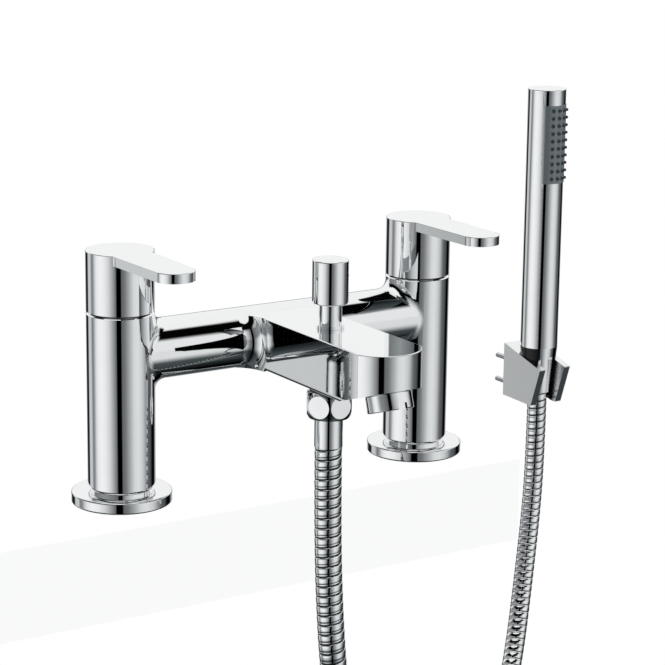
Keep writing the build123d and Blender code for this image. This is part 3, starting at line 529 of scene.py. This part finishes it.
def turned_chrome(name, axis, smooth, dull):
    """Chrome over turned brass: lathe marks a fifth of a millimetre apart go round an
    upright axis, so they vary with height and hardly with the angle."""
    finish = Finish(name)
    centre, squeeze = (-axis[0], -axis[1], 0.0), (1.0, 1.0, mark_squeeze)
    values = {"Vector": finish.place, "Location": centre, "Scale": squeeze}
    rings = finish.add("ShaderNodeMapping", None, values)
    values = {"Vector": rings, "Scale": mark_scale, "Detail": 2.0}
    marks = finish.add("ShaderNodeTexNoise", None, values)
    haze = finish.haze()
    rough = smooth + (dull - smooth) * (marks * 0.6 + haze * 0.4)
    tint = finish.mix(haze, tone(bright_chrome), tone(hazed_chrome))
    relief = finish.bump(marks, distance=0.0000012)
    return finish.surface(Base_Color=tint, Metallic=1.0, Roughness=rough, Normal=relief)


knob_low, knob_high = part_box("diverter_knob")
knob_axis = (knob_low + knob_high) / 2
knob_chrome = turned_chrome("knob_chrome", knob_axis, smooth=0.022, dull=0.055)
dress(knob_chrome, "diverter_knob", "diverter_bonnet")

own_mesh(frame["nodes"]["diverter_spring"])


# Hose nut and ferrule below the spout: a forged hexagon turned to a ball, so that
# each of its flats is round, and the pressed sleeve that grips the hose.

nut_chrome = turned_chrome("nut_chrome", leg_from_mixer[0], smooth=0.022, dull=0.050)
dress(nut_chrome, "hose_nut", "hose_ferrule")


# Aerator: a chromed screw-in housing with two flats for its key, round a white
# insert that mixes air into the water.

key_half_width = 0.0027
key_height = 0.0030
key_edge_across = 0.0004
key_edge_above = 0.0006
housing_roughness = 0.022
housing_haze = 0.025
key_roughness = 0.30


def key_flats(name, box):
    """Chrome that is matt on the key's flats, where the key has rubbed: the part of the
    housing that is near its side plane and low down."""
    finish = Finish(name)
    low, high = box
    across, _, level = finish.place.parts()
    aside = (across - (low.x + high.x) / 2).math("ABSOLUTE")
    near = 1 - aside.between(key_half_width, key_half_width + key_edge_across)
    key_top = low.z + key_height
    rubbed = near * (1 - level.between(key_top, key_top + key_edge_above))
    haze = finish.haze(scale=160.0)
    rough = housing_roughness + haze * housing_haze + rubbed * key_roughness
    tint = finish.mix(haze, tone(bright_chrome), tone(hazed_chrome))
    return finish.surface(Base_Color=tint, Metallic=1.0, Roughness=rough)


dress(key_flats("aerator_chrome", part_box("aerator_housing")), "aerator_housing")


# Handset: a drawn and chromed brass tube with a cap and a conical nut, and a
# spray panel of soft grey rubber with four columns of nozzles.

handset_axis = leg_to_handset[-1]
panel_radius = 0.0139
panel_facing = 12.7
panel_edge_angle = 57.6
rim_angles = (2.5, 5.0)
margin_angles = (14.0, 26.0)
column_angle = 19.6
columns_each_side = 2.0
first_row_height = 0.0795
row_pitch = 0.0054
nozzle_tip = 0.0154
nozzle_foot = (0.00125, 0.00185)
nozzle_hole = 0.00048
above_panel = (0.0001, 0.0007)
below_tip = (-0.0002, -0.0001)
rubber_roughness = 0.40
cloud_roughness = 0.12

panel_grey = (0.115, 0.138, 0.148)
panel_light_grey = (0.145, 0.170, 0.180)
margin_grey = (0.062, 0.078, 0.086)
rim_grey = (0.230, 0.255, 0.265)
# Painted shade: the dark ring round each nozzle's foot and the black of its hole.
foot_shade_grey = (0.030, 0.036, 0.040)
nozzle_grey = (0.026, 0.031, 0.034)
hole_shade_black = (0.004, 0.004, 0.004)


def nozzle_rubber():
    """Soft grey rubber. A point's angle round the tube's axis and its height tell how
    far it is from the middle of the nearest nozzle, and its distance from the axis how
    far it stands off the panel. A nozzle is darker than the panel, with a painted shade
    as a dark ring round its foot and a painted shade as a black dot for the hole in its
    tip. The panel's margins are darker and its rim is paler."""
    finish = Finish("nozzle_rubber")
    east, north, level = finish.place.parts()
    east, north = east - handset_axis[0], north - handset_axis[1]
    out = (east * east + north * north).math("SQRT")
    turn = east.math("ARCTAN2", -1 * north) * degrees
    column = (turn - panel_facing) / column_angle + 0.5
    row = (level - first_row_height) / row_pitch
    aside = (column - column.math("ROUND")) * (column_angle / degrees * nozzle_tip)
    above = (row - row.math("ROUND")) * row_pitch
    off = (aside * aside + above * above).math("SQRT")
    planted = (column - 0.5).math("ABSOLUTE").math("LESS_THAN", columns_each_side)
    raised = out.between(*[panel_radius + step for step in above_panel])
    at_tip = out.between(*[nozzle_tip + step for step in below_tip])
    # Painted shade: a black dot where each tip's hole is, and a dark ring on the panel round each
    # nozzle's foot.
    hole = (1 - off.between(nozzle_hole, nozzle_hole * 1.5)) * at_tip
    foot = (1 - off.between(*nozzle_foot)) * (1 - raised) * planted
    from_edge = panel_edge_angle - (turn - panel_facing).math("ABSOLUTE")
    rim = 1 - from_edge.between(*rim_angles)
    margin = 1 - from_edge.between(*margin_angles)
    cloud = finish.noise(scale=120.0, detail=3.0)
    flat = finish.mix(cloud, tone(panel_grey), tone(panel_light_grey))
    darker = finish.mix(margin * 0.65, flat, tone(margin_grey))
    rimmed = finish.mix(rim, darker, tone(rim_grey))
    footed = finish.mix(foot * 0.7, rimmed, tone(foot_shade_grey))
    studded = finish.mix(raised, footed, tone(nozzle_grey))
    colour = finish.mix(hole, studded, tone(hole_shade_black))
    rough = rubber_roughness + cloud * cloud_roughness
    relief = finish.bump(finish.noise(scale=2600.0), distance=0.00003)
    return finish.surface(Base_Color=colour, Roughness=rough, Normal=relief)


tube_chrome = chrome("tube_chrome", bright_chrome, smooth=0.020, dull=0.045)
end_chrome = turned_chrome("end_chrome", handset_axis, smooth=0.022, dull=0.050)
dress(tube_chrome, "handset_tube")
dress(end_chrome, "handset_cap", "handset_cone_nut")
dress(nozzle_rubber(), "nozzle_panel")


# Wall bracket: a chromed block, brushed on its broad sides and polished on its
# edges, with a glossy black liner that holds the conical nut.

broad_side = (0.96, 0.995)
edge_tint = (0.90, 0.91, 0.915)
brushed_tint = (0.95, 0.95, 0.94)
polished_roughness = 0.03
brushed_roughness = 0.20
grain_roughness = 0.03
liner_black = (0.004, 0.004, 0.0045)


def bracket_finish():
    """Satin where the surface looks sideways, and bright on the slopes, fronts and edges.
    The brushing runs along the height, so its grain is short across and long upwards."""
    finish = Finish("bracket_satin")
    sideways = finish.add("ShaderNodeNewGeometry", output="Normal").parts()[0]
    broad = sideways.math("ABSOLUTE").between(*broad_side)
    grain = finish.noise(scale=1500.0, stretch=(1.0, 1.0, 0.05))
    rough = polished_roughness + broad * (brushed_roughness + grain * grain_roughness)
    tint = finish.mix(broad, tone(edge_tint), tone(brushed_tint))
    relief = finish.bump(grain * broad, distance=0.0000008)
    return finish.surface(Base_Color=tint, Metallic=1.0, Roughness=rough, Normal=relief)


def moulded(name, colour, rough, grain, depth, shine=0.5):
    """Plastic, rubber or ceramic: an even colour, a little cloudy, with a fine grain
    that is depth metres deep."""
    finish = Finish(name)
    cloud = finish.noise(scale=90.0, detail=3.0)
    tint = finish.mix(cloud, tone(colour), tone(colour, share=0.88))
    clouded = rough + cloud * cloud_roughness
    relief = finish.bump(finish.noise(grain), depth)
    return finish.surface(
        Base_Color=tint, Roughness=clouded, Normal=relief, Specular_IOR_Level=shine
    )


liner_plastic = moulded(
    "liner_plastic", liner_black, rough=0.08, grain=1800.0, depth=0.00001, shine=0.30
)
dress(bracket_finish(), "bracket_body")
dress(liner_plastic, "bracket_insert")


# Tails, backnuts and the works inside: brass as it comes from the lathe, dull steel,
# ceramic discs ground flat, rubber seals and white plastic. The tails are under the
# deck, so the polished parts above it don't mirror them.

tail_brown = (0.62, 0.47, 0.24)
inner_brown = (0.17, 0.15, 0.115)
steel_grey = (0.62, 0.63, 0.64)
ceramic_cream = (0.86, 0.84, 0.78)
plastic_white = (0.80, 0.80, 0.78)
seal_black = (0.025, 0.025, 0.027)

def raw_brass(name, colour, smooth, dull):
    """Turned brass, a little browned: cloudy tarnish, and fine marks round upright axes."""
    finish = Finish(name)
    tarnish = finish.noise(scale=110.0, detail=4.0).between(0.30, 0.75)
    marks = finish.noise(scale=900.0, detail=1.0, stretch=(0.05, 0.05, 1.0))
    tint = finish.mix(tarnish, tone(colour), tone(colour, share=0.72))
    rough = smooth + (dull - smooth) * (tarnish * 0.6 + marks * 0.4)
    relief = finish.bump(marks, distance=0.000002)
    return finish.surface(Base_Color=tint, Metallic=1.0, Roughness=rough, Normal=relief)


tail_brass = raw_brass("tail_brass", tail_brown, smooth=0.24, dull=0.42)
inner_brass = raw_brass("inner_brass", inner_brown, smooth=0.34, dull=0.52)
steel = chrome("steel", steel_grey, smooth=0.22, dull=0.40)
ceramic = moulded("ceramic", ceramic_cream, rough=0.12, grain=3200.0, depth=0.00001)
white_plastic = moulded("white_plastic", plastic_white, rough=0.34, grain=1800.0, depth=0.00002)
rubber = moulded("seal_rubber", seal_black, rough=0.55, grain=2400.0, depth=0.00005)

under_deck = ["hot_inlet_tail", "cold_inlet_tail", "backnuts", "deck_washers"]
for node in under_deck:
    frame["nodes"][node].visible_glossy = False
dress(
    tail_brass, "hot_inlet_tail", "cold_inlet_tail", "backnuts", "handset_inlet",
    "hose_end_ferrule",
)
dress(
    inner_brass, "hot_cartridge_body", "cold_cartridge_body", "hot_spindle", "cold_spindle",
    "diverter_stem", "shower_outlet_spigot",
)
dress(
    steel, "bracket_screws", "cold_grub_screw", "hot_grub_screw", "cold_spindle_clip",
    "hot_spindle_clip", "deck_washers", "diverter_spring",
)
dress(ceramic, "hot_fixed_disc", "hot_moving_disc", "cold_fixed_disc", "cold_moving_disc")
dress(white_plastic, "aerator_insert", "spray_housing")
slots = {part["node"]: part["material_slot"] for part in frame["record"]["subparts"]}
dress(rubber, *[node for node, slot in slots.items() if slot == "black_rubber"])
